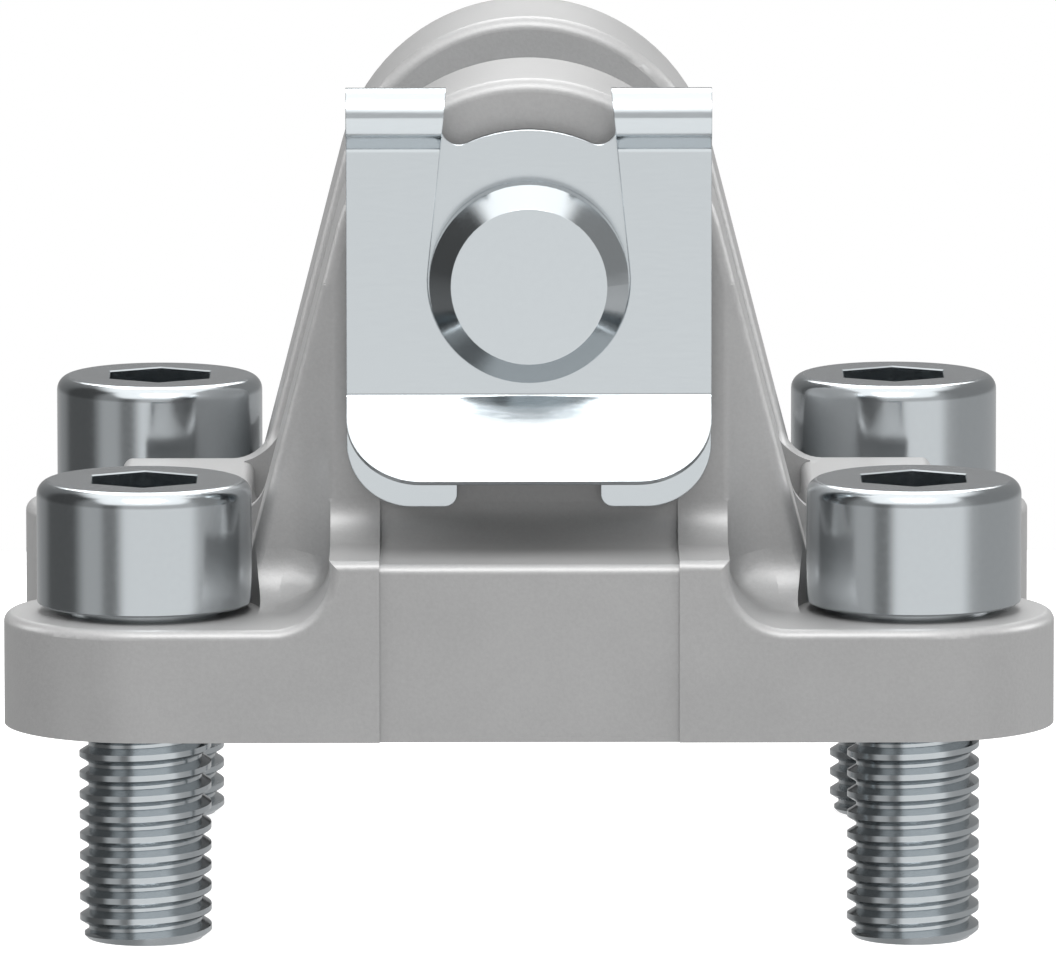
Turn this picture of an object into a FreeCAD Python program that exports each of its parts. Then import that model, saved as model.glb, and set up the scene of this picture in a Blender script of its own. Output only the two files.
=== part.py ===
import FreeCAD, Part
import math
import os

from FreeCAD import Vector

# Swivel flange for the rear of a 50 mm cylinder: a cast aluminium foot with two ears,
# a steel clevis pin, its folded spring clip and four hexagon socket cap screws.
# Millimetres. The origin is the middle of the mounting face, +Z points to the ears and
# the pin lies along Y. The clip is on the -Y side, which is the front.

# Flange foot
bolt_pitch = 46.5
lobe_r = 8.5
plate_t = 6.8
floor_z = 11.0
spine_w = 24.0
arm_past_slot = 1.8
arm_reach = 25.3
waist_r = 2.0
foot_r = 3.5
edge_r = 0.6

# Ears
axis_z = 27.0
ear_r = 12.0
ear_taper = 14.5
ears_w = 45.0
slot_w = 21.0
ear_edge_r = 0.8
ear_foot_r = 2.5
web_recess = 1.0
web_cove_r = 4.2

# Hollows of the casting
screw_hole_d = 9.0
screw_seat_d = 14.0
collar_d = 40.0
collar_depth = 4.3
pocket_l = 34.2
pocket_floor_z = 7.5
pocket_r = 2.0
channel_w = 18.0
channel_depth = 0.25

# Clevis pin
pin_d = 12.0
pin_clear = 0.05
pin_end_reach = 4.8
pin_end_chamfer = 1.3
pin_head_d = 16.0
pin_head_t = 3.0
pin_head_gap = 0.1
pin_head_chamfer = 0.6
groove_d = 8.5
groove_w = 1.6

# Retaining clip, a folded strip of spring steel
clip_t = 0.4
clip_w = 22.0
clip_gap = 0.1
clip_foot_z = 13.06
clip_slot_clear = 0.1
clip_slot_corner_r = 0.75
clip_corner_r = 3.9
clip_joggle = 1.0
clip_joggle_z = 18.0
clip_joggle_top_z = 22.6
clip_joggle_r = 1.5
clip_layer_gap = 0.5
clip_loop_r = 1.45
clip_loop_z = 37.15
clip_neck_r = 0.5
clip_neck_angle = 60.0
clip_bend_z = 20.04
clip_bend_r = 0.5
clip_lip_tilt = 40.0
clip_lip_l = 6.2
clip_lip_r = 4.5
clip_hole_clear = 0.1
clip_mouth_w = 9.9
clip_window_r = 9.1
clip_window_w = 10.5
clip_relief_r = 1.05

# M8 x 20 cap screw
screw_d = 8.0
screw_l = 20.0
screw_neck_d = 7.2
screw_tip_chamfer = 0.9
head_d = 13.0
head_h = 8.0
head_chamfer = 0.6
key_w = 6.0
key_depth = 4.0

# Places that follow from these sizes
half_pitch = bolt_pitch / 2
foot_half = half_pitch + lobe_r
ear_out = ears_w / 2
ear_in = slot_w / 2
spine_half = spine_w / 2
arm_half = ear_in + arm_past_slot
bore_d = pin_d + 2 * pin_clear
taper = math.radians(ear_taper)
web_y = ear_out - web_recess
web_cove_w = math.sqrt(web_cove_r ** 2 - (web_cove_r - web_recess) ** 2)
clip_back_y = -(ear_out + clip_gap + clip_t / 2)
clip_neck_y = clip_back_y - clip_joggle
clip_front_y = clip_neck_y - clip_t - clip_layer_gap
clip_top_z = clip_loop_z + clip_loop_r + clip_t / 2
corners = [(sx * half_pitch, sy * half_pitch) for sy in (-1, 1) for sx in (-1, 1)]
# Well past the part on every side, for cuts that go right out
reach = 4 * foot_half


def block(x0, x1, y0, y1, z0, z1):
    """A box given by its lowest and highest corners."""
    return Part.makeBox(x1 - x0, y1 - y0, z1 - z0, Vector(x0, y0, z0))


def rod(d, x, y, z0, z1):
    """An upright cylinder."""
    return Part.makeCylinder(d / 2, z1 - z0, Vector(x, y, z0))


def cross_rod(d, y0, y1):
    """A cylinder on the pin's axis, from y0 to y1."""
    return Part.makeCylinder(d / 2, y1 - y0, Vector(0, y0, axis_z), Vector(0, 1, 0))


def fuse_all(shapes):
    """One solid from several that meet."""
    whole = shapes[0].multiFuse(shapes[1:])
    return whole.removeSplitter()


def across_x(shape):
    """The shape and its mirror image on the other side of the YZ plane."""
    return shape.fuse(shape.mirror(Vector(0, 0, 0), Vector(1, 0, 0)))


def across_y(shape):
    """The shape and its mirror image on the other side of the XZ plane."""
    return shape.fuse(shape.mirror(Vector(0, 0, 0), Vector(0, 1, 0)))


def flipped(p):
    """A point's mirror image on the other side of the YZ plane."""
    return Vector(-p.x, p.y, p.z)


def near(value, target):
    """True where two lengths are the same to a hundredth of a millimetre."""
    return abs(value - target) < 0.01


def level(box, z):
    """True for an edge that lies flat at height z."""
    return near(box.ZMin, z) and near(box.ZMax, z)


def edges_where(shape, test):
    """The edges whose middle point and box pass a test."""
    chosen = []
    for edge in shape.Edges:
        middle = edge.valueAt((edge.FirstParameter + edge.LastParameter) / 2)
        if test(middle, edge.BoundBox):
            chosen.append(edge)
    return chosen


def rounded_line(points, radii):
    """Straight runs through the points, with an arc of its own radius at each inner point."""
    edges = []
    last = points[0]
    for before, corner, after, radius in zip(points, points[1:], points[2:], radii):
        back = (before - corner).normalize()
        ahead = (after - corner).normalize()
        half_angle = back.getAngle(ahead) / 2
        trim = radius / math.tan(half_angle)
        start = corner + back * trim
        end = corner + ahead * trim
        middle = corner + (back + ahead).normalize() * (radius / math.sin(half_angle) - radius)
        if start.distanceToPoint(last) > 0.001:
            edges.append(Part.makeLine(last, start))
        if radius > 0:
            edges.append(Part.Arc(start, middle, end).toShape())
        last = end
    edges.append(Part.makeLine(last, points[-1]))
    return edges


def prism(edges, travel):
    """A solid made by moving a closed outline along a vector."""
    return Part.Face(Part.Wire(edges)).extrude(travel)


def ear_side_x(z):
    """Half the width of a tapered ear at height z, below its round top."""
    return ear_r / math.cos(taper) + (axis_z - z) * math.tan(taper)


def foot_plate():
    """The low plate: four round lobes joined to a waisted middle."""
    lobes = [rod(2 * lobe_r, x, y, 0, plate_t) for x, y in corners]
    ends = across_y(block(-half_pitch, half_pitch, half_pitch, foot_half, 0, plate_t))
    middle = block(-arm_reach, arm_reach, -half_pitch, half_pitch, 0, plate_t)
    plate = fuse_all(lobes + [ends, middle])

    def in_waist(p, box):
        return box.ZLength > plate_t / 2 and near(abs(p.x), arm_reach) and abs(p.y) < half_pitch

    return plate.makeFillet(waist_r, edges_where(plate, in_waist))


def web_relief():
    """What leaves the rear ear's webs thinner than its pad: a flat with a cove at the pad's edge."""
    pad_edge = Vector(spine_half, ear_out, 0)
    cove_foot = Vector(spine_half + web_cove_w, web_y, 0)
    half_turn = math.asin(web_cove_w / web_cove_r) / 2
    cove_centre = cove_foot + Vector(0, web_cove_r, 0)
    cove_middle = cove_centre - Vector(math.sin(half_turn), math.cos(half_turn), 0) * web_cove_r
    far_web = Vector(reach, web_y, 0)
    far_corner = Vector(reach, reach, 0)
    far_pad = Vector(spine_half, reach, 0)
    outline = [
        Part.Arc(pad_edge, cove_middle, cove_foot).toShape(),
        Part.makeLine(cove_foot, far_web),
        Part.makeLine(far_web, far_corner),
        Part.makeLine(far_corner, far_pad),
        Part.makeLine(far_pad, pad_edge),
    ]
    return across_x(prism(outline, Vector(0, 0, reach)))


def rear_ear():
    """One ear: a tapered blank with a round top, relieved beside its pad and rounded on its slot side."""
    touch = Vector(ear_r * math.cos(taper), ear_in, axis_z + ear_r * math.sin(taper))
    low = Vector(ear_side_x(0), ear_in, 0)
    left_touch = Vector(-touch.x, ear_in, touch.z)
    left_low = Vector(-low.x, ear_in, 0)
    outline = [
        Part.makeLine(left_low, left_touch),
        Part.Arc(left_touch, Vector(0, ear_in, axis_z + ear_r), touch).toShape(),
        Part.makeLine(touch, low),
        Part.makeLine(low, left_low),
    ]
    ear = prism(outline, Vector(0, ear_out - ear_in, 0)).cut(web_relief())

    def on_slot_side(p, box):
        return near(p.y, ear_in) and p.z > edge_r

    return ear.makeFillet(ear_edge_r, edges_where(ear, on_slot_side))


def on_foot_corner(p, box):
    """The inner corners where walls rise from the plate."""
    inside = abs(p.x) < min(half_pitch, arm_reach) - edge_r and abs(p.y) < foot_half - edge_r
    return level(box, plate_t) and (inside or near(abs(p.y), arm_half))


def on_ledge_corner(p, box):
    """The inner corner where an ear's pad rises from the spine."""
    return level(box, floor_z) and near(abs(p.y), ear_out) and abs(p.x) < spine_half


def on_foot_edge(p, box):
    """The upper outer edges of the plate, and of the ends of the spine and the arm."""
    if box.ZMin < plate_t - edge_r / 2 or box.ZMax > floor_z + edge_r / 2:
        return False
    on_end = near(abs(p.y), foot_half) or near(abs(p.x), arm_reach)
    past_lobes = abs(p.x) > min(half_pitch, arm_reach) - edge_r
    on_lobe = level(box, plate_t) and past_lobes and not near(abs(p.y), arm_half)
    return on_end or on_lobe


def on_pad_edge(p, box):
    """The outline of an ear's outer face and the upright edges of its pad."""
    if abs(p.y) < web_y - edge_r or box.ZMax < floor_z + ear_foot_r + edge_r:
        return False
    cove_line = near(abs(p.x), spine_half + web_cove_w) and box.XLength < edge_r / 2
    crosses = box.YLength > web_recess + edge_r / 2
    return not (cove_line or crosses) and box.ZLength > edge_r / 2


def on_ear_foot(p, box):
    """The inner corner where an ear's sides meet the arm's top."""
    beside_ear = near(abs(p.x), ear_side_x(floor_z)) and ear_in < abs(p.y) < arm_half
    return level(box, floor_z) and beside_ear


def rounded_casting():
    """The foot and both ears as one piece, with its inner corners and outer edges rounded."""
    spine = block(-spine_half, spine_half, -foot_half, foot_half, 0, floor_z)
    arm = block(-arm_reach, arm_reach, -arm_half, arm_half, 0, floor_z)
    casting = fuse_all([foot_plate(), spine, arm, across_y(rear_ear())])
    for radius, wanted in (
        (foot_r, on_foot_corner),
        (ear_foot_r, on_ledge_corner),
        (edge_r, on_foot_edge),
        (ear_edge_r, on_pad_edge),
        (ear_foot_r, on_ear_foot),
    ):
        casting = casting.makeFillet(radius, edges_where(casting, wanted))
    return casting


def slot_pocket():
    """The sunk floor between the ears, with a soft edge at each end."""
    side = pocket_l / 2
    flare = side + edge_r
    start = Vector(flare, -ear_in, floor_z + ear_foot_r)
    lip_start = Vector(flare, -ear_in, floor_z)
    lip_end = Vector(side, -ear_in, floor_z - edge_r)
    lip_middle = lip_start + Vector(-math.sqrt(0.5), 0, math.sqrt(0.5) - 1) * edge_r
    corner = Vector(side, -ear_in, pocket_floor_z)
    outline = [
        Part.makeLine(start, lip_start),
        Part.Arc(lip_start, lip_middle, lip_end).toShape(),
        *rounded_line([lip_end, corner, flipped(corner), flipped(lip_end)], [pocket_r, pocket_r]),
        Part.Arc(flipped(lip_end), flipped(lip_middle), flipped(lip_start)).toShape(),
        Part.makeLine(flipped(lip_start), flipped(start)),
        Part.makeLine(flipped(start), start),
    ]
    return prism(outline, Vector(0, 2 * ear_in, 0))


def pin_channel():
    """The shallow flat channel for the clip: up the front end, over the ledge and up the pad."""
    end_y = -foot_half + channel_depth
    pad_y = -ear_out + channel_depth
    ledge_z = floor_z - channel_depth
    face = [Vector(0, end_y, -edge_r), Vector(0, end_y, ledge_z), Vector(0, pad_y, ledge_z)]
    face.append(Vector(0, pad_y, axis_z + channel_w))
    outer = [Vector(0, -reach, axis_z + channel_w), Vector(0, -reach, -edge_r), face[0]]
    outline = rounded_line(face + outer, [edge_r, ear_foot_r, 0, 0, 0])
    cut = prism(outline, Vector(channel_w, 0, 0))
    cut.translate(Vector(-channel_w / 2, 0, 0))
    below_axis = block(-channel_w, channel_w, -reach, 0, -edge_r, axis_z)
    return cut.common(below_axis.fuse(cross_rod(channel_w, -reach, 0)))


def build_flange():
    """The casting with its slot floor, channels, bores and holes."""
    cuts = [slot_pocket(), across_y(pin_channel())]
    cuts.append(cross_rod(bore_d, -reach, reach))
    cuts.append(rod(collar_d, 0, 0, -plate_t, collar_depth))
    for x, y in corners:
        cuts.append(rod(screw_hole_d, x, y, -plate_t, 2 * plate_t))
        cuts.append(rod(screw_seat_d, x, y, plate_t, axis_z))
    casting = rounded_casting()
    for cut in cuts:
        casting = casting.cut(cut)
    return casting


def build_pin():
    """The clevis pin: plain head at the rear, groove and chamfered end at the front."""
    tip_y = -(ear_out + pin_end_reach)
    seat_y = ear_out - channel_depth + pin_head_gap
    head_y = seat_y + pin_head_t
    pin_r = pin_d / 2
    head_r = pin_head_d / 2
    profile = [
        (0, tip_y),
        (pin_r - pin_end_chamfer, tip_y),
        (pin_r, tip_y + pin_end_chamfer),
        (pin_r, -ear_out - groove_w),
        (groove_d / 2, -ear_out - groove_w),
        (groove_d / 2, -ear_out),
        (pin_r, -ear_out),
        (pin_r, seat_y),
        (head_r, seat_y),
        (head_r, head_y - pin_head_chamfer),
        (head_r - pin_head_chamfer, head_y),
        (0, head_y),
        (0, tip_y),
    ]
    points = [Vector(radius, y, axis_z) for radius, y in profile]
    face = Part.Face(Part.makePolygon(points))
    return face.revolve(Vector(0, 0, axis_z), Vector(0, 1, 0), 360)


def clip_path():
    """Corners and bend radii of the strip's middle line, from its foot over the loop to its lip."""
    lean = math.radians(clip_neck_angle)
    tilt = math.radians(clip_lip_tilt)
    loop_y = clip_neck_y - clip_loop_r
    loop_front_y = loop_y - clip_loop_r
    loop_low_z = clip_loop_z - clip_loop_r * math.tan(lean / 2)
    touch_y = clip_loop_r * math.cos(lean)
    touch_z = clip_loop_z - clip_loop_r * math.sin(lean)
    front_neck_z = touch_z - (clip_front_y - loop_y + touch_y) / math.tan(lean)
    lip_y = clip_front_y - clip_lip_l * math.sin(tilt)
    lip_z = clip_bend_z - clip_lip_l * math.cos(tilt)
    path = [
        (clip_back_y, clip_foot_z, 0),
        (clip_back_y, clip_joggle_z, clip_joggle_r),
        (clip_neck_y, clip_joggle_top_z, clip_joggle_r),
        (clip_neck_y, clip_loop_z + clip_loop_r, clip_loop_r),
        (loop_front_y, clip_loop_z + clip_loop_r, clip_loop_r),
        (loop_front_y, loop_low_z, clip_loop_r),
        (clip_front_y, front_neck_z, clip_neck_r),
        (clip_front_y, clip_bend_z, clip_bend_r),
        (lip_y, lip_z, 0),
    ]
    return [Vector(0, y, z) for y, z, _ in path], [radius for _, _, radius in path[1:-1]]


def shifted(points, radii, by):
    """The same bent line moved sideways by a distance, positive to its left seen from +X."""
    runs = [(b - a).normalize() for a, b in zip(points, points[1:])]
    sides = [Vector(1, 0, 0).cross(run) for run in runs]
    moved = [points[0] + sides[0] * by]
    bends = []
    for point, radius, run, side, next_side in zip(points[1:], radii, runs, sides, sides[1:]):
        moved.append(point + (side + next_side) * (by / (1 + side.dot(next_side))))
        turns_left = run.dot(next_side) < 0
        bends.append(radius - by if turns_left else radius + by)
    moved.append(points[-1] + sides[-1] * by)
    return moved, bends


def clip_strip():
    """The whole strip, folded but not yet cut out."""
    points, radii = clip_path()
    left, left_bends = shifted(points, radii, clip_t / 2)
    right, right_bends = shifted(points, radii, -clip_t / 2)
    outline = rounded_line(left, left_bends) + rounded_line(right, right_bends)
    outline.append(Part.makeLine(left[0], right[0]))
    outline.append(Part.makeLine(left[-1], right[-1]))
    strip = prism(Part.sortEdges(outline)[0], Vector(clip_w, 0, 0))
    strip.translate(Vector(-clip_w / 2, 0, 0))
    return strip


def clip_mouth():
    """The front plate's hole round the pin and the mouth that narrows upwards from it."""
    hole_r = pin_d / 2 + clip_hole_clear
    axis = Vector(0, -reach, axis_z)
    top = Vector(clip_mouth_w / 2, -reach, clip_top_z)
    rise = top - axis
    angle = math.atan2(rise.z, rise.x) - math.acos(hole_r / rise.Length)
    touch = axis + Vector(math.cos(angle), 0, math.sin(angle)) * hole_r
    past_top = touch + (top - touch) * 1.1
    outline = [
        Part.Arc(touch, axis - Vector(0, 0, hole_r), flipped(touch)).toShape(),
        Part.makeLine(flipped(touch), flipped(past_top)),
        Part.makeLine(flipped(past_top), past_top),
        Part.makeLine(past_top, touch),
    ]
    return prism(outline, Vector(0, reach + (clip_neck_y + clip_front_y) / 2, 0))


def clip_window():
    """What is cut from the back layer above its tab: a round edge with a relief bay at each end."""
    split_y = (clip_neck_y + clip_front_y) / 2
    bay_x = clip_window_w / 2 - clip_relief_r
    centre_distance = clip_window_r + clip_relief_r
    axis = Vector(0, split_y, axis_z)
    bay = Vector(bay_x, split_y, axis_z + math.sqrt(centre_distance ** 2 - bay_x ** 2))
    inward = (axis - bay).normalize()
    meet = bay + inward * clip_relief_r
    side = bay + Vector(clip_relief_r, 0, 0)
    low = bay + (inward + Vector(1, 0, 0)).normalize() * clip_relief_r
    top = Vector(clip_mouth_w / 2, split_y, clip_top_z)
    past_top = side + (top - side) * 1.2
    outline = [
        Part.makeLine(past_top, side),
        Part.Arc(side, low, meet).toShape(),
        Part.Arc(meet, axis + Vector(0, 0, clip_window_r), flipped(meet)).toShape(),
        Part.Arc(flipped(meet), flipped(low), flipped(side)).toShape(),
        Part.makeLine(flipped(side), flipped(past_top)),
        Part.makeLine(flipped(past_top), past_top),
    ]
    return prism(outline, Vector(0, reach, 0))


def clip_back_slot():
    """The open slot by which the back layer hooks over the pin's groove."""
    split_y = (clip_neck_y + clip_front_y) / 2
    half_slot = groove_d / 2 + clip_slot_clear
    slot = block(-half_slot, half_slot, split_y, 0, 0, axis_z)
    return slot.fuse(cross_rod(2 * half_slot, split_y, 0))


def build_clip():
    """The folded retaining clip with all its corners rounded."""
    clip = clip_strip().cut(clip_mouth()).cut(clip_window()).cut(clip_back_slot())

    def through_foot(p, box):
        return near(p.z, clip_foot_z) and near(box.YLength, clip_t) and near(box.XLength, 0)

    def outer_foot(p, box):
        return through_foot(p, box) and near(abs(p.x), clip_w / 2)

    def inner_foot(p, box):
        return through_foot(p, box) and not near(abs(p.x), clip_w / 2)

    def lip_corner(p, box):
        at_side = near(abs(p.x), clip_w / 2) and near(box.XLength, 0)
        on_lip = p.z < clip_bend_z - clip_lip_l / 2 and p.y < clip_front_y - clip_t
        return at_side and on_lip and box.DiagonalLength < 2 * clip_t

    clip = clip.makeFillet(clip_corner_r, edges_where(clip, outer_foot))
    clip = clip.makeFillet(clip_slot_corner_r, edges_where(clip, inner_foot))
    return clip.makeFillet(clip_lip_r, edges_where(clip, lip_corner))


def build_screw(x, y):
    """A hexagon socket cap screw in its hole, head on the plate, thread below the mounting face."""
    top_z = plate_t + head_h
    tip_z = plate_t - screw_l
    head = rod(head_d, x, y, plate_t, top_z)
    head = head.makeChamfer(head_chamfer, edges_where(head, lambda p, box: level(box, top_z)))
    thread = rod(screw_d, x, y, tip_z, 0)
    thread = thread.makeChamfer(screw_tip_chamfer, edges_where(thread, lambda p, box: level(box, tip_z)))
    corner_r = key_w / 2 / math.cos(math.radians(30))
    socket_z = top_z - key_depth
    ring = []
    for step in range(7):
        angle = math.radians(60 * step + 90)
        ring.append(Vector(x + corner_r * math.cos(angle), y + corner_r * math.sin(angle), socket_z))
    socket = Part.Face(Part.makePolygon(ring)).extrude(Vector(0, 0, head_h))
    return fuse_all([head, rod(screw_neck_d, x, y, 0, plate_t), thread]).cut(socket)


def save(name, shape):
    """Write one piece and print its size."""
    solid = shape.Solids[0]
    print(name, len(shape.Solids), solid.isValid(), round(solid.Volume, 1))
    solid.exportStep("parts/" + name + ".step")


os.makedirs("parts", exist_ok=True)
save("flange_body", build_flange())
save("clevis_pin", build_pin())
save("retaining_clip", build_clip())
for place, (x, y) in zip(("front_left", "front_right", "rear_left", "rear_right"), corners):
    save("cap_screw_" + place, build_screw(x, y))
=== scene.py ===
# %% [markdown]
# # Swivel flange for a 50 mm bore cylinder
#
# This lesson dresses a finished construction model. The shapes of the casting, the pin and the spring clip
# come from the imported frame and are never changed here. What is added is the look: metal finishes, real
# screw threads, light, and a camera at the angle of the photograph. Everything is in metres, with the
# origin in the middle of the mounting face, Z up towards the ears and the pin along Y.

# %% Load the frame
import math

import bmesh
import bpy
from mathutils import Matrix, Vector


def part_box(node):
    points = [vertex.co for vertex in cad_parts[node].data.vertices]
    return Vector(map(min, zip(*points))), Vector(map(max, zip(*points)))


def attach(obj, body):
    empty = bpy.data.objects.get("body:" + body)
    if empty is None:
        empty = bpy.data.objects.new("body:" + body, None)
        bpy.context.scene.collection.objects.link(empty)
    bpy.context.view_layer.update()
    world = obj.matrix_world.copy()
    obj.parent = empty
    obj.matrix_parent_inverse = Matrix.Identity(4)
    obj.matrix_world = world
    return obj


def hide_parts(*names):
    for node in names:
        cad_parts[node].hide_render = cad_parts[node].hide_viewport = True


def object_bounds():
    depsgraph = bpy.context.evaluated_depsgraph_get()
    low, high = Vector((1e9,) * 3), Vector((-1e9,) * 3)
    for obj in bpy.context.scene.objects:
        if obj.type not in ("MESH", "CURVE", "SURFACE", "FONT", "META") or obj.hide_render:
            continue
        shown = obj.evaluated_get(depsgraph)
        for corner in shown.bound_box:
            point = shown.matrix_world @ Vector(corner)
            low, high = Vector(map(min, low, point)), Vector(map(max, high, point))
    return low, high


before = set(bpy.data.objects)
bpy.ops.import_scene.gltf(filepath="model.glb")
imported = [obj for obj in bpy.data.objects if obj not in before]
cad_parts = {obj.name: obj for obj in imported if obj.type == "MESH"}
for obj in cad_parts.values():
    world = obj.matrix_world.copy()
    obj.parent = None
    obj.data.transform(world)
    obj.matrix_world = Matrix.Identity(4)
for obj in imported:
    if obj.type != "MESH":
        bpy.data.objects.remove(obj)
cad_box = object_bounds()
print("nodes:", ", ".join(sorted(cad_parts)))

# %% [markdown]
# Sizes read most easily in the units of the workshop, so lengths are written in millimetres and turned
# into metres in one place. Angles are written in degrees.

# %% Units
MM = 0.001


def mm(*values):
    """Millimetres to metres, as one number or as a vector."""
    return values[0] * MM if len(values) == 1 else Vector(values) * MM


print("one millimetre is", MM, "metres")

# %% [markdown]
# ## The camera
#
# A product photographer stands well back and uses a long lens, so that parallel edges stay nearly parallel.
# The angles below were fitted to edges of the flange in the photograph: the camera looks along the pin,
# turned by a fraction of a degree and tipped down by about eight degrees. A camera looks along its own
# negative Z, so its three axes are built from those angles and put in a matrix.

# %% Camera
YAW = math.radians(-0.1741)
TIP = math.radians(-8.1795)
ROLL = math.radians(-0.0550)
CAMERA_PLACE = (-2.877, -950.989, 148.245)
NEAREST, FURTHEST = 50, 20000
SENSOR_MM = 36.0
FOCAL_PX = 15520.53
IMAGE_W = 1056

across = Vector((math.cos(YAW), math.sin(YAW), 0))
away = Vector((-math.sin(YAW), math.cos(YAW), 0))
forward = away * math.cos(TIP) + Vector((0, 0, math.sin(TIP)))
level_up = across.cross(forward)
right = across * math.cos(ROLL) + level_up * math.sin(ROLL)
up = level_up * math.cos(ROLL) - across * math.sin(ROLL)

lens = bpy.data.cameras.new("camera")
lens.sensor_width = SENSOR_MM
lens.sensor_fit = "HORIZONTAL"
lens.lens = FOCAL_PX * SENSOR_MM / IMAGE_W
lens.clip_start = mm(NEAREST)
lens.clip_end = mm(FURTHEST)
camera = bpy.data.objects.new("camera", lens)
bpy.context.scene.collection.objects.link(camera)
turned = Matrix((right, up, -forward)).transposed().to_4x4()
camera.matrix_world = Matrix.Translation(mm(*CAMERA_PLACE)) @ turned
bpy.context.scene.camera = camera
print("lens", round(lens.lens, 1), "mm")

# %% [markdown]
# ## Helpers for node trees
#
# A material or a world is a graph of small boxes, called nodes, whose sockets are joined by links. Two
# helpers keep the later cells short: one joins or fills a socket, the other adds a node and does so for all
# the sockets that are named.

# %% Add and join nodes


def plug(tree, node, name, value):
    """Joins a socket to another one, or writes a plain value in it."""
    target = node.inputs[int(name)] if name.isdigit() else node.inputs[name]
    if isinstance(value, bpy.types.NodeSocket):
        tree.links.new(value, target)
    else:
        target.default_value = value


def add_node(tree, kind, options=None, **sockets):
    """Adds one node. A socket is given by name with _ for a space, and takes a number or another socket."""
    made = tree.nodes.new(kind)
    for name, value in (options or {}).items():
        setattr(made, name, value)
    for name, value in sockets.items():
        plug(tree, made, name.replace("_", " "), value)
    return made


print("nodes can be added")

# %% [markdown]
# Three kinds of node come back again and again, so each gets a helper of its own: arithmetic on numbers, a
# ramp that turns a number into a grey or a tint, and a mix of two shaders.

# %% Arithmetic, ramps and mixes


def maths(tree, operation, *values):
    """One arithmetic node, giving its output socket."""
    made = tree.nodes.new("ShaderNodeMath")
    made.operation = operation
    for slot_number, value in enumerate(values):
        plug(tree, made, str(slot_number), value)
    return made.outputs[0]


def ramp(tree, factor, stops, smooth=False, hue=(1, 1, 1)):
    """A colour ramp of stops, each a place from 0 to 1 and a level, all of one hue."""
    made = tree.nodes.new("ShaderNodeValToRGB")
    made.color_ramp.interpolation = "EASE" if smooth else "LINEAR"
    marks = made.color_ramp.elements
    while len(marks) < len(stops):
        marks.new(0.5)
    for mark, (place, grey) in zip(marks, stops):
        mark.position = place
        mark.color = (grey * hue[0], grey * hue[1], grey * hue[2], 1)
    tree.links.new(factor, made.inputs[0])
    return made.outputs[0]


def mix(tree, share, first, second):
    """Mixes two shaders: the first where the share is 0, the second where it is 1."""
    made = add_node(tree, "ShaderNodeMixShader", Fac=share)
    plug(tree, made, "1", first)
    plug(tree, made, "2", second)
    return made.outputs[0]


print("node helpers ready")

# %% [markdown]
# ## The studio
#
# Polished steel shows nothing of its own: it shows the room. The real flange was photographed in a white
# tent. Its upright faces mirror the pale table, faces tipped back a little mirror a greyer band at the
# horizon, and faces tipped back further mirror the bright roof. So the world is painted as that room.
#
# First come its levels, each beside an angle in degrees: a height above the horizon, or a bearing, which is
# 0 on the camera's side and positive to its right. The walls are dark at the openings in the sides of the
# tent. The eaves say how much higher the roof starts at a bearing than it does towards the camera.

# %% Levels of the room
FULL_LEVEL = 2.0
BACKDROP_LEVEL = 1.0
ROOF_BY_HEIGHT = [(10, 0.30), (26, 0.80), (90, 0.85)]
ROOF_EDGE = [(10, 0.0), (26, 1.0)]
WALL_BY_HEIGHT = [(-90, 1.00), (-16, 1.00), (-7, 0.84), (1, 0.54), (14, 0.54)]
WALL_BY_BEARING = [
    (-180, 0.30),
    (-132, 0.18),
    (-120, 0.075),
    (-80, 0.075),
    (-66, 0.33),
    (-48, 0.33),
    (-41, 0.155),
    (-30, 0.155),
    (-20, 0.62),
    (52, 0.62),
    (64, 0.34),
    (78, 0.29),
    (120, 0.29),
    (180, 0.30),
]
EAVES_BY_BEARING = [(-180, 30), (-115, 38), (-70, 34), (-42, 0), (42, 0), (70, 38), (115, 38), (180, 30)]
print("wall panels:", len(WALL_BY_BEARING))

# %% [markdown]
# In a world, the Generated coordinate is the direction of the ray, as a vector of length one. Its Z is the
# sine of the height, and its X and Y give the bearing. A ramp runs from 0 to 1, so both angles, and the
# stops above, are brought into that range.

# %% Height and bearing of a ray
HALF_TURN, FULL_TURN = 180, 360


def by_height(stops):
    """Stops for a ramp that runs from straight down to straight up."""
    return [(degrees / HALF_TURN + 0.5, level) for degrees, level in stops]


def by_bearing(stops):
    """Stops for a ramp that runs once round the horizon, from behind on the left to behind on the right."""
    return [(degrees / FULL_TURN + 0.5, level) for degrees, level in stops]


world = bpy.data.worlds.new("studio")
bpy.context.scene.world = world
world.use_nodes = True
tree = world.node_tree
tree.nodes.clear()
direction = add_node(tree, "ShaderNodeTexCoord").outputs["Generated"]
axes = add_node(tree, "ShaderNodeSeparateXYZ", Vector=direction).outputs
height = maths(tree, "DIVIDE", maths(tree, "ARCSINE", axes["Z"]), math.pi)
height = maths(tree, "ADD", height, 0.5)
bearing = maths(tree, "ARCTAN2", axes["X"], maths(tree, "MULTIPLY", axes["Y"], -1.0))
bearing = maths(tree, "ADD", maths(tree, "DIVIDE", bearing, math.tau), 0.5)
print("angle nodes:", len(tree.nodes))

# %% [markdown]
# The walls multiply a level for the height with a level for the bearing. The roof takes over from them
# above the eaves, with a soft edge. Only mirrors and matt surfaces see this room: a ray that comes straight
# from the camera meets a plain white backdrop instead, as in the photograph.

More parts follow.
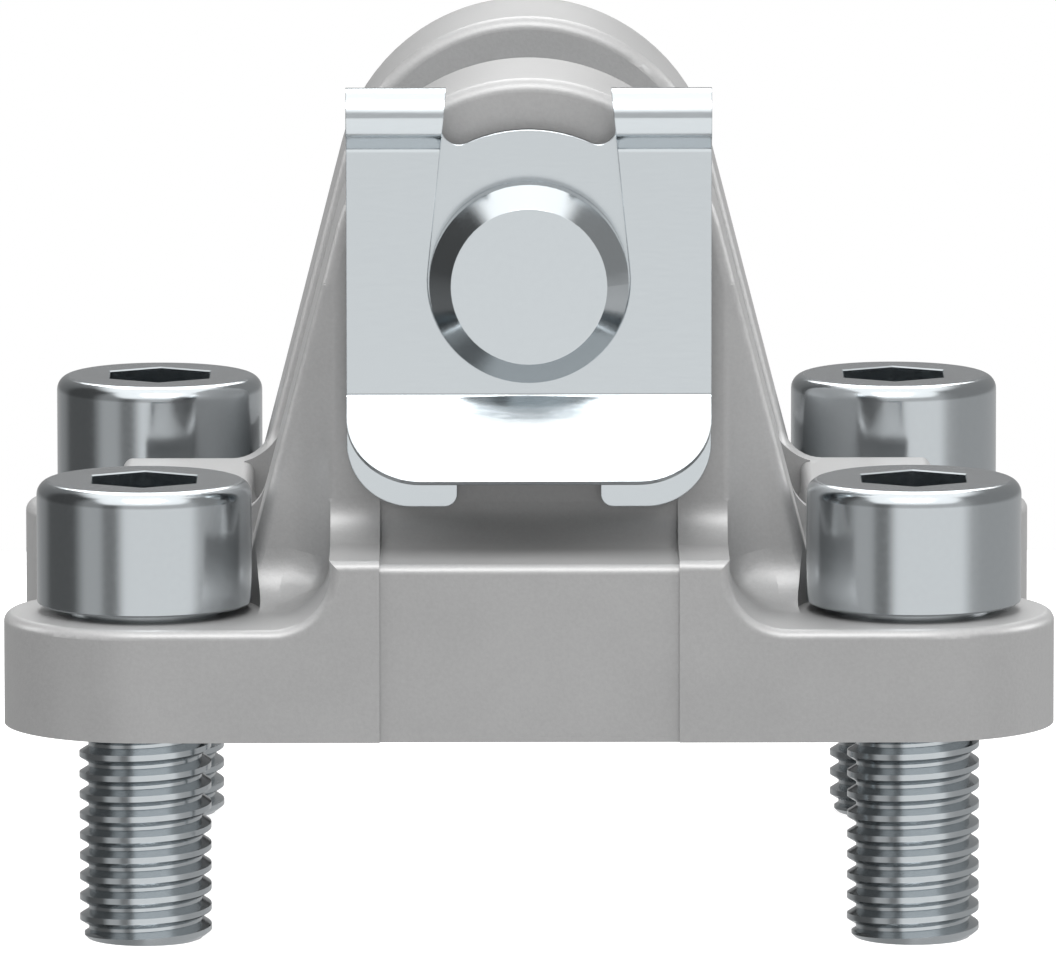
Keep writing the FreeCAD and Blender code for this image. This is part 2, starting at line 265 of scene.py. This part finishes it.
# %% Walls, roof and backdrop
wall = maths(
    tree,
    "MULTIPLY",
    ramp(tree, height, by_height(WALL_BY_HEIGHT)),
    ramp(tree, bearing, by_bearing(WALL_BY_BEARING)),
)
eaves = [(degrees, lift / HALF_TURN) for degrees, lift in EAVES_BY_BEARING]
above_eaves = maths(tree, "SUBTRACT", height, ramp(tree, bearing, by_bearing(eaves)))
roof_share = ramp(tree, above_eaves, by_height(ROOF_EDGE), smooth=True)
roof = maths(tree, "MULTIPLY", ramp(tree, height, by_height(ROOF_BY_HEIGHT)), roof_share)
wall = maths(tree, "MULTIPLY", wall, maths(tree, "SUBTRACT", 1.0, roof_share))
room = add_node(
    tree, "ShaderNodeBackground", Color=maths(tree, "ADD", roof, wall), Strength=FULL_LEVEL
)
backdrop = add_node(tree, "ShaderNodeBackground", Color=(1, 1, 1, 1), Strength=BACKDROP_LEVEL)
ray = add_node(tree, "ShaderNodeLightPath").outputs
seen = mix(tree, ray["Is Camera Ray"], room.outputs[0], backdrop.outputs[0])
add_node(tree, "ShaderNodeOutputWorld", Surface=seen)
bpy.context.scene.view_settings.view_transform = "Standard"
print("world nodes:", len(tree.nodes))

# %% [markdown]
# ## The table
#
# The table is one large pale disc that touches the tips of the screws. To the camera it is white, as paper
# is in the photograph, but it keeps the soft shadow of the object, because only part of its brightness is
# given to the camera as a glow. Polished steel looks straight through it to the room: so the threads, which
# stand close above the table, carry the same upright stripes as the heads do.

# %% Paper
PAPER_GREY = 0.32
PAPER_GLOW = 0.95


def fresh_material(name):
    """An empty material with its node tree."""
    made = bpy.data.materials.new(name)
    made.use_nodes = True
    made.node_tree.nodes.clear()
    return made, made.node_tree


paper, tree = fresh_material("table_paper")
matt = add_node(tree, "ShaderNodeBsdfDiffuse", Color=(PAPER_GREY, PAPER_GREY, PAPER_GREY, 1)).outputs[0]
glow = add_node(tree, "ShaderNodeEmission", Color=(1, 1, 1, 1), Strength=PAPER_GLOW).outputs[0]
glowing = add_node(tree, "ShaderNodeAddShader")
plug(tree, glowing, "0", matt)
plug(tree, glowing, "1", glow)
ray = add_node(tree, "ShaderNodeLightPath").outputs
sheet = mix(tree, ray["Is Camera Ray"], matt, glowing.outputs[0])
in_mirrors = maths(tree, "MAXIMUM", ray["Is Glossy Ray"], ray["Is Transmission Ray"])
clear = add_node(tree, "ShaderNodeBsdfTransparent").outputs[0]
add_node(tree, "ShaderNodeOutputMaterial", Surface=mix(tree, in_mirrors, sheet, clear))
print("paper nodes:", len(tree.nodes))

# %% [markdown]
# The disc itself is a filled circle. Its place is written in its mesh, and its object stays at the origin,
# as the nodes of the frame do.

# %% Table
TABLE_R, TABLE_SIDES = 140, 128
table_z = cad_box[0].z


def mesh_object(bm, name):
    """Turns a bmesh into an object at the origin, and frees the bmesh."""
    mesh = bpy.data.meshes.new(name)
    bm.to_mesh(mesh)
    bm.free()
    made = bpy.data.objects.new(name, mesh)
    bpy.context.scene.collection.objects.link(made)
    return made


bm = bmesh.new()
bmesh.ops.create_circle(bm, cap_ends=True, radius=mm(TABLE_R), segments=TABLE_SIDES)
bmesh.ops.translate(bm, vec=(0, 0, table_z), verts=bm.verts)
floor = mesh_object(bm, "table")
floor.data.materials.append(paper)
print("table at", round(table_z / MM, 2), "mm")

# %% [markdown]
# ## The lamps
#
# Soft lamps stand over the object, in front, behind and at its sides. The one above and the two at the
# sides are hidden from mirrors, or they would show as squares in the polished pin. Two low lamps at the
# sides light the casting alone, through light linking: they draw the bright lines along the edges of its
# ears, which the heads of the screws then mirror.

# %% Lamps


def soft_lamp(name, place, aim, size, watts, mirrored=True):
    """A square area lamp at a place, turned to a point, all in millimetres."""
    data = bpy.data.lights.new(name, "AREA")
    data.shape = "SQUARE"
    data.size = mm(size)
    data.energy = watts
    made = bpy.data.objects.new(name, data)
    made.location = mm(*place)
    made.rotation_euler = (mm(*aim) - made.location).to_track_quat("-Z", "Y").to_euler()
    made.visible_glossy = mirrored
    bpy.context.scene.collection.objects.link(made)
    return made


FOOT, BODY, EARS = (0, 0, 10), (0, 0, 15), (0, 0, 20)
soft_lamp("roof_lamp", place=(0, 0, 900), aim=EARS, size=700, watts=2.4, mirrored=False)
soft_lamp("front_lamp", place=(0, -520, 660), aim=FOOT, size=400, watts=3.5)
soft_lamp("left_lamp", place=(-620, -160, 480), aim=FOOT, size=400, watts=3.4, mirrored=False)
soft_lamp("right_lamp", place=(620, -160, 480), aim=FOOT, size=400, watts=3.4, mirrored=False)
casting_only = bpy.data.collections.new("casting_only")
casting_only.objects.link(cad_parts["flange_body"])
for name, x, watts in (("left_rim_lamp", -600, 1.3), ("right_rim_lamp", 600, 2.0)):
    rim_lamp = soft_lamp(name, place=(x, 170, 250), aim=BODY, size=300, watts=watts)
    rim_lamp.light_linking.receiver_collection = casting_only
soft_lamp("back_lamp", place=(0, 560, 600), aim=FOOT, size=500, watts=2.7)

# %% [markdown]
# ## The casting
#
# The real body is an aluminium casting, bead blasted to a fine, even, matt grey. It is still bare metal, so
# the material is a rough metal rather than grey paint: its light follows the room. A fine grain moves the
# surface by about a hundredth of a millimetre, and a broad faint cloudiness moves the colour and roughness.
# Both patterns are noise on Object coordinates, so they stay with the metal when it moves.

# %% Noise and metal helpers


def noise(tree, place, scale, detail, roughness):
    """A noise pattern, giving its level as a socket."""
    made = add_node(
        tree, "ShaderNodeTexNoise", Vector=place, Scale=scale, Detail=detail, Roughness=roughness
    )
    return made.outputs["Fac"]


def metal(tree, tint, rough, share, relief):
    """Ends a material as metal of the given share, with its tint, roughness and relief."""
    skin = add_node(
        tree,
        "ShaderNodeBsdfPrincipled",
        Base_Color=tint,
        Roughness=rough,
        Metallic=share,
        Normal=relief.outputs[0],
    )
    add_node(tree, "ShaderNodeOutputMaterial", Surface=skin.outputs[0])


def dress(node, material):
    """Gives a node of the frame its material in every slot."""
    slots = node.data.materials
    for number in range(len(slots)):
        slots[number] = material
    if not slots:
        slots.append(material)


print("metal helpers ready")

# %% [markdown]
# Noise rarely comes near its ends of 0 and 1, so the ramps spread their two tones between 0.3 and 0.7. The
# grain has about four grains to a millimetre, and the clouds are about a centimetre wide.

# %% Cast aluminium
LOW_NOISE, HIGH_NOISE = 0.30, 0.70
DARK_CAST, PALE_CAST = 0.272, 0.318
SMOOTH_CAST, ROUGH_CAST = 0.40, 0.46
CAST_METAL = 0.4

cast, tree = fresh_material("blasted_aluminium")
place = add_node(tree, "ShaderNodeTexCoord").outputs["Object"]
grain = noise(tree, place, scale=4200.0, detail=4.0, roughness=0.62)
cloud = noise(tree, place, scale=110.0, detail=5.0, roughness=0.55)
mixed = maths(tree, "ADD", maths(tree, "MULTIPLY", grain, 0.5), maths(tree, "MULTIPLY", cloud, 0.5))
tint = ramp(tree, mixed, [(LOW_NOISE, DARK_CAST), (HIGH_NOISE, PALE_CAST)])
rough = ramp(tree, mixed, [(LOW_NOISE, SMOOTH_CAST), (HIGH_NOISE, ROUGH_CAST)])
relief = add_node(tree, "ShaderNodeBump", Height=grain, Strength=0.28, Distance=mm(0.04))
metal(tree, tint, rough, CAST_METAL, relief)
dress(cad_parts["flange_body"], cast)
print("casting dressed")

# %% [markdown]
# ## Polished steel
#
# The clip is stamped from bright spring strip and the pin is ground bar. Both are smooth enough to mirror
# the room. A faint stretched grain along the strip, and faint turned rings on the pin, keep the mirror from
# looking like glass. A Bevel node rounds the light on sharp edges, which no real strip or bar has, by a
# tenth of a millimetre or less.

# %% Spring steel and pin steel
COOL = (0.925, 0.985, 1.02)
TONE_SPREAD = 0.015
BEVEL_SAMPLES = 6


def bright_steel(name, stretch, tone, smoothest, roughest, edge=0.0):
    """Polished steel with a fine grain stretched by the given scales along X, Y and Z."""
    made, tree = fresh_material(name)
    place = add_node(tree, "ShaderNodeTexCoord").outputs["Object"]
    laid = add_node(tree, "ShaderNodeMapping", Vector=place, Scale=stretch).outputs[0]
    grain = noise(tree, laid, scale=1000.0, detail=3.0, roughness=0.5)
    dark, pale = tone * (1 - TONE_SPREAD), tone * (1 + TONE_SPREAD)
    tint = ramp(tree, grain, [(LOW_NOISE, dark), (HIGH_NOISE, pale)], hue=COOL)
    rough = ramp(tree, grain, [(LOW_NOISE, smoothest), (HIGH_NOISE, roughest)])
    relief = add_node(tree, "ShaderNodeBump", Height=grain, Strength=0.05, Distance=mm(0.004))
    if edge:
        soft = add_node(tree, "ShaderNodeBevel", {"samples": BEVEL_SAMPLES}, Radius=edge)
        plug(tree, relief, "Normal", soft.outputs[0])
    metal(tree, tint, rough, 1.0, relief)
    return made


strip_steel = bright_steel(
    "spring_strip", stretch=(1.0, 6.0, 6.0), tone=0.61, smoothest=0.14, roughest=0.19, edge=mm(0.1)
)
pin_steel = bright_steel(
    "ground_pin", stretch=(4.0, 12.0, 4.0), tone=0.62, smoothest=0.12, roughest=0.17, edge=mm(0.05)
)
dress(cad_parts["retaining_clip"], strip_steel)
dress(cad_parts["clevis_pin"], pin_steel)
print("clip and pin dressed")

# %% [markdown]
# ## The socket cap screws
#
# Each corner holds an M8 socket cap screw. The construction model has a plain rod for the thread, which is
# right for sizes and bare to look at. Here the thread is cut for real. One ridge of it is drawn first, as
# radius and height in millimetres: a short flat at the root, a flank up, a flat crest and a flank down,
# which together make one pitch.

# %% Ridge of the thread
PITCH, CREST_R, ROOT_R = 1.25, 4.0, 3.45
ROOT_FLAT, FLANK = 0.10, 0.35
mid_r = (CREST_R + ROOT_R) / 2
ridge = [
    (ROOT_R, 0.0),
    (ROOT_R, ROOT_FLAT),
    (mid_r, ROOT_FLAT + FLANK / 2),
    (CREST_R, ROOT_FLAT + FLANK),
    (CREST_R, PITCH - ROOT_FLAT - FLANK),
    (mid_r, PITCH - ROOT_FLAT - FLANK / 2),
    (ROOT_R, PITCH - ROOT_FLAT),
    (ROOT_R, PITCH),
]
print("ridge of", len(ridge), "points")

# %% [markdown]
# The ridge is spun round the axis while it climbs by one pitch a turn, the same motion as a lathe cutting a
# thread. It starts below the tip and ends above the top, and two planes cut off what is too much. The tip
# is then drawn in to a short cone, as it is on a real screw, so that it finds its hole.

# %% Cut the thread
TIP_Z, TIP_R, THREAD_TOP = -13.2, 3.55, 4.0
STEPS_A_TURN, SPARE_TURNS = 40, 2
MERGE_WITHIN = 0.002


def line_of(bm, points):
    """Joins points, given as radius and height in millimetres, by edges in the XZ plane."""
    verts = [bm.verts.new(mm(radius, 0, z)) for radius, z in points]
    edges = [bm.edges.new(pair) for pair in zip(verts, verts[1:])]
    return verts + edges


def weld(bm):
    """Merges what the spin left double and turns all faces outward."""
    bmesh.ops.remove_doubles(bm, verts=bm.verts, dist=mm(MERGE_WITHIN))
    bmesh.ops.recalc_face_normals(bm, faces=bm.faces)


def thread():
    """The threaded shank as one closed bmesh."""
    bm = bmesh.new()
    turns = math.ceil((THREAD_TOP - TIP_Z) / PITCH) + SPARE_TURNS
    start = TIP_Z - PITCH
    bmesh.ops.spin(
        bm,
        geom=line_of(bm, [(radius, z + start) for radius, z in ridge]),
        axis=(0, 0, 1),
        cent=(0, 0, 0),
        dvec=(0, 0, mm(PITCH / STEPS_A_TURN)),
        angle=math.tau * turns,
        steps=STEPS_A_TURN * turns,
    )
    bmesh.ops.remove_doubles(bm, verts=bm.verts, dist=mm(MERGE_WITHIN))
    for z, side in ((TIP_Z, "clear_inner"), (THREAD_TOP, "clear_outer")):
        everything = bm.verts[:] + bm.edges[:] + bm.faces[:]
        bmesh.ops.bisect_plane(
            bm, geom=everything, plane_co=mm(0, 0, z), plane_no=(0, 0, 1), **{side: True}
        )
    for vert in bm.verts:
        radius = vert.co.to_2d().length
        widest = mm(TIP_R) + max(0.0, vert.co.z - mm(TIP_Z))
        if radius > widest:
            vert.co.xy = vert.co.xy * (widest / radius)
    bmesh.ops.holes_fill(bm, edges=[edge for edge in bm.edges if edge.is_boundary], sides=0)
    weld(bm)
    return bm


def open_edges(bm):
    """How many edges don't join exactly two faces."""
    return sum(not edge.is_manifold for edge in bm.edges)


thread_bm = thread()
print("thread faces:", len(thread_bm.faces), "open edges:", open_edges(thread_bm))

# %% [markdown]
# The head is a turned shape, so its outline is spun once round. Its upper edge is well rounded and its lower
# edge is only broken. Below that it stands on a smaller seat, which leaves a narrow dark gap above the
# casting. Beside each edge an extra ring keeps the shading of the flat face flat.

# %% Turn the head
HEAD_R, HEAD_TOP, SEAT = 6.5, 14.8, 6.8
EDGE_R, EDGE_STEPS = 0.9, 8
STEP_R, STEP_H, RIM = 4.9, 0.50, 0.12
NECK_R, NECK_LAP = 3.6, 1.0
BESIDE_EDGE, BESIDE_RIM = 0.06, 0.04
HEAD_SIDES = 96


def head():
    """The turned head with its neck, as one closed bmesh with no socket."""
    centre_r, centre_z = HEAD_R - EDGE_R, HEAD_TOP - EDGE_R
    outline = [(0, HEAD_TOP), (centre_r - BESIDE_EDGE, HEAD_TOP)]
    for step in range(EDGE_STEPS + 1):
        turn = math.radians(90 - step * 90 / EDGE_STEPS)
        outline.append((centre_r + EDGE_R * math.cos(turn), centre_z + EDGE_R * math.sin(turn)))
    outline += [
        (HEAD_R, centre_z - BESIDE_EDGE),
        (HEAD_R, SEAT + STEP_H + RIM + BESIDE_RIM),
        (HEAD_R, SEAT + STEP_H + RIM),
        (HEAD_R - RIM, SEAT + STEP_H),
        (STEP_R, SEAT + STEP_H),
        (STEP_R, SEAT),
        (NECK_R, SEAT),
        (NECK_R, THREAD_TOP - NECK_LAP),
        (0, THREAD_TOP - NECK_LAP),
    ]
    bm = bmesh.new()
    bmesh.ops.spin(
        bm,
        geom=line_of(bm, outline),
        axis=(0, 0, 1),
        cent=(0, 0, 0),
        angle=math.tau,
        steps=HEAD_SIDES,
        use_merge=True,
    )
    weld(bm)
    return bm


blank = head()
print("head faces before the socket:", len(blank.faces), "open edges:", open_edges(blank))

# %% [markdown]
# The socket is cut by three solid tools, much as the real one is made: the point of a drill leaves a shallow
# cone at the bottom, a hexagonal punch makes the six flats, and a wider six-sided cone breaks the rim. Each
# tool is a cone or prism round the axis. A hexagon's flats are nearer its middle than its points by the
# share below, so that share makes the broken rim slope by 45 degrees.

# %% Tools for the socket
KEY, KEY_DEPTH, KEY_CHAMFER = 6.3, 4.0, 0.08
DRILL_R, DRILL_TIP_R, DRILL_DEPTH, DRILL_SIDES = 3.05, 0.05, 0.9, 48
PUNCH_ABOVE, LEAD_REACH, DRILL_LAP = 1.0, 1.0, 0.03
HEXAGON, FLAT_SHARE = 6, 0.866


def tool(sides, low_r, high_r, deep, middle):
    """A closed cone or prism with its middle at a height. A hexagon gets two of its points along Y."""
    bm = bmesh.new()
    bmesh.ops.create_cone(
        bm, cap_ends=True, segments=sides, radius1=mm(low_r), radius2=mm(high_r), depth=mm(deep)
    )
    along_x = max(abs(vert.co.x) for vert in bm.verts)
    along_y = max(abs(vert.co.y) for vert in bm.verts)
    if sides == HEXAGON and along_x > along_y:
        turn = Matrix.Rotation(math.pi / sides, 3, "Z")
        bmesh.ops.rotate(bm, cent=(0, 0, 0), matrix=turn, verts=bm.verts)
    bmesh.ops.translate(bm, vec=mm(0, 0, middle), verts=bm.verts)
    return bm


key_r = KEY / math.sqrt(3)
punch_deep = KEY_DEPTH + PUNCH_ABOVE
punch = tool(HEXAGON, key_r, key_r, punch_deep, HEAD_TOP - KEY_DEPTH + punch_deep / 2)
rim_r = (KEY + 2 * KEY_CHAMFER) / math.sqrt(3)
lead_in = tool(HEXAGON, rim_r - LEAD_REACH, rim_r + LEAD_REACH, 2 * LEAD_REACH * FLAT_SHARE, HEAD_TOP)
drill_middle = HEAD_TOP - KEY_DEPTH - DRILL_DEPTH / 2 + DRILL_LAP
drill = tool(DRILL_SIDES, DRILL_TIP_R, DRILL_R, DRILL_DEPTH, drill_middle)
print("tools:", len(punch.faces), len(lead_in.faces), len(drill.faces), "faces")

# %% [markdown]
# A Boolean modifier takes each tool out of the head. The evaluated result is read back as a bmesh, and the
# blank and its tools are removed.

# %% Cut the socket


def cut(body, *tools):
    """Cuts the tools out of a bmesh and gives the result as a new bmesh."""
    target = mesh_object(body, "blank")
    cutters = [mesh_object(cutter, "tool") for cutter in tools]
    for cutter in cutters:
        step = target.modifiers.new("cut", "BOOLEAN")
        step.operation = "DIFFERENCE"
        step.solver = "EXACT"
        step.object = cutter
    ready = target.evaluated_get(bpy.context.evaluated_depsgraph_get())
    mesh = bpy.data.meshes.new_from_object(ready)
    result = bmesh.new()
    result.from_mesh(mesh)
    for spare in [target, *cutters]:
        bpy.data.objects.remove(spare)
    bpy.data.meshes.remove(mesh)
    return result


head_bm = cut(blank, punch, lead_in, drill)
print("head faces:", len(head_bm.faces), "open edges:", open_edges(head_bm))

# %% [markdown]
# Head and thread share one finish, so they become one mesh. Its faces are shaded smooth, except across
# edges that turn by more than the crease angle.

# %% Join head and thread
CREASE_ANGLE = math.radians(24)

screw_bm = bmesh.new()
for source in (thread_bm, head_bm):
    spare = bpy.data.meshes.new("spare")
    source.to_mesh(spare)
    screw_bm.from_mesh(spare)
    source.free()
    bpy.data.meshes.remove(spare)
screw_mesh = bpy.data.meshes.new("screw")
screw_bm.to_mesh(screw_mesh)
screw_bm.free()
for polygon in screw_mesh.polygons:
    polygon.use_smooth = True
screw_mesh.set_sharp_from_angle(angle=CREASE_ANGLE)
print("faces of one screw:", len(screw_mesh.polygons))

# %% [markdown]
# The screws are bright plated steel. They were rolled and then tumbled, so their mirror is a little softer
# than the pin's. One copy is laid in each corner, over the middle of the plain screw that it replaces.

# %% Lay the four screws
screw_steel = bright_steel(
    "plated_screw_steel", stretch=(3.0, 3.0, 3.0), tone=0.56, smoothest=0.15, roughest=0.19
)
for corner in ("front_left", "front_right", "rear_left", "rear_right"):
    node = "cap_screw_" + corner
    low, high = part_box(node)
    mesh = screw_mesh.copy()
    mesh.transform(Matrix.Translation(((low.x + high.x) / 2, (low.y + high.y) / 2, 0)))
    screw = bpy.data.objects.new("screw_" + corner, mesh)
    bpy.context.scene.collection.objects.link(screw)
    screw.data.materials.append(screw_steel)
    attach(screw, "flange")
    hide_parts(node)
bpy.data.meshes.remove(screw_mesh)
print("screws laid")
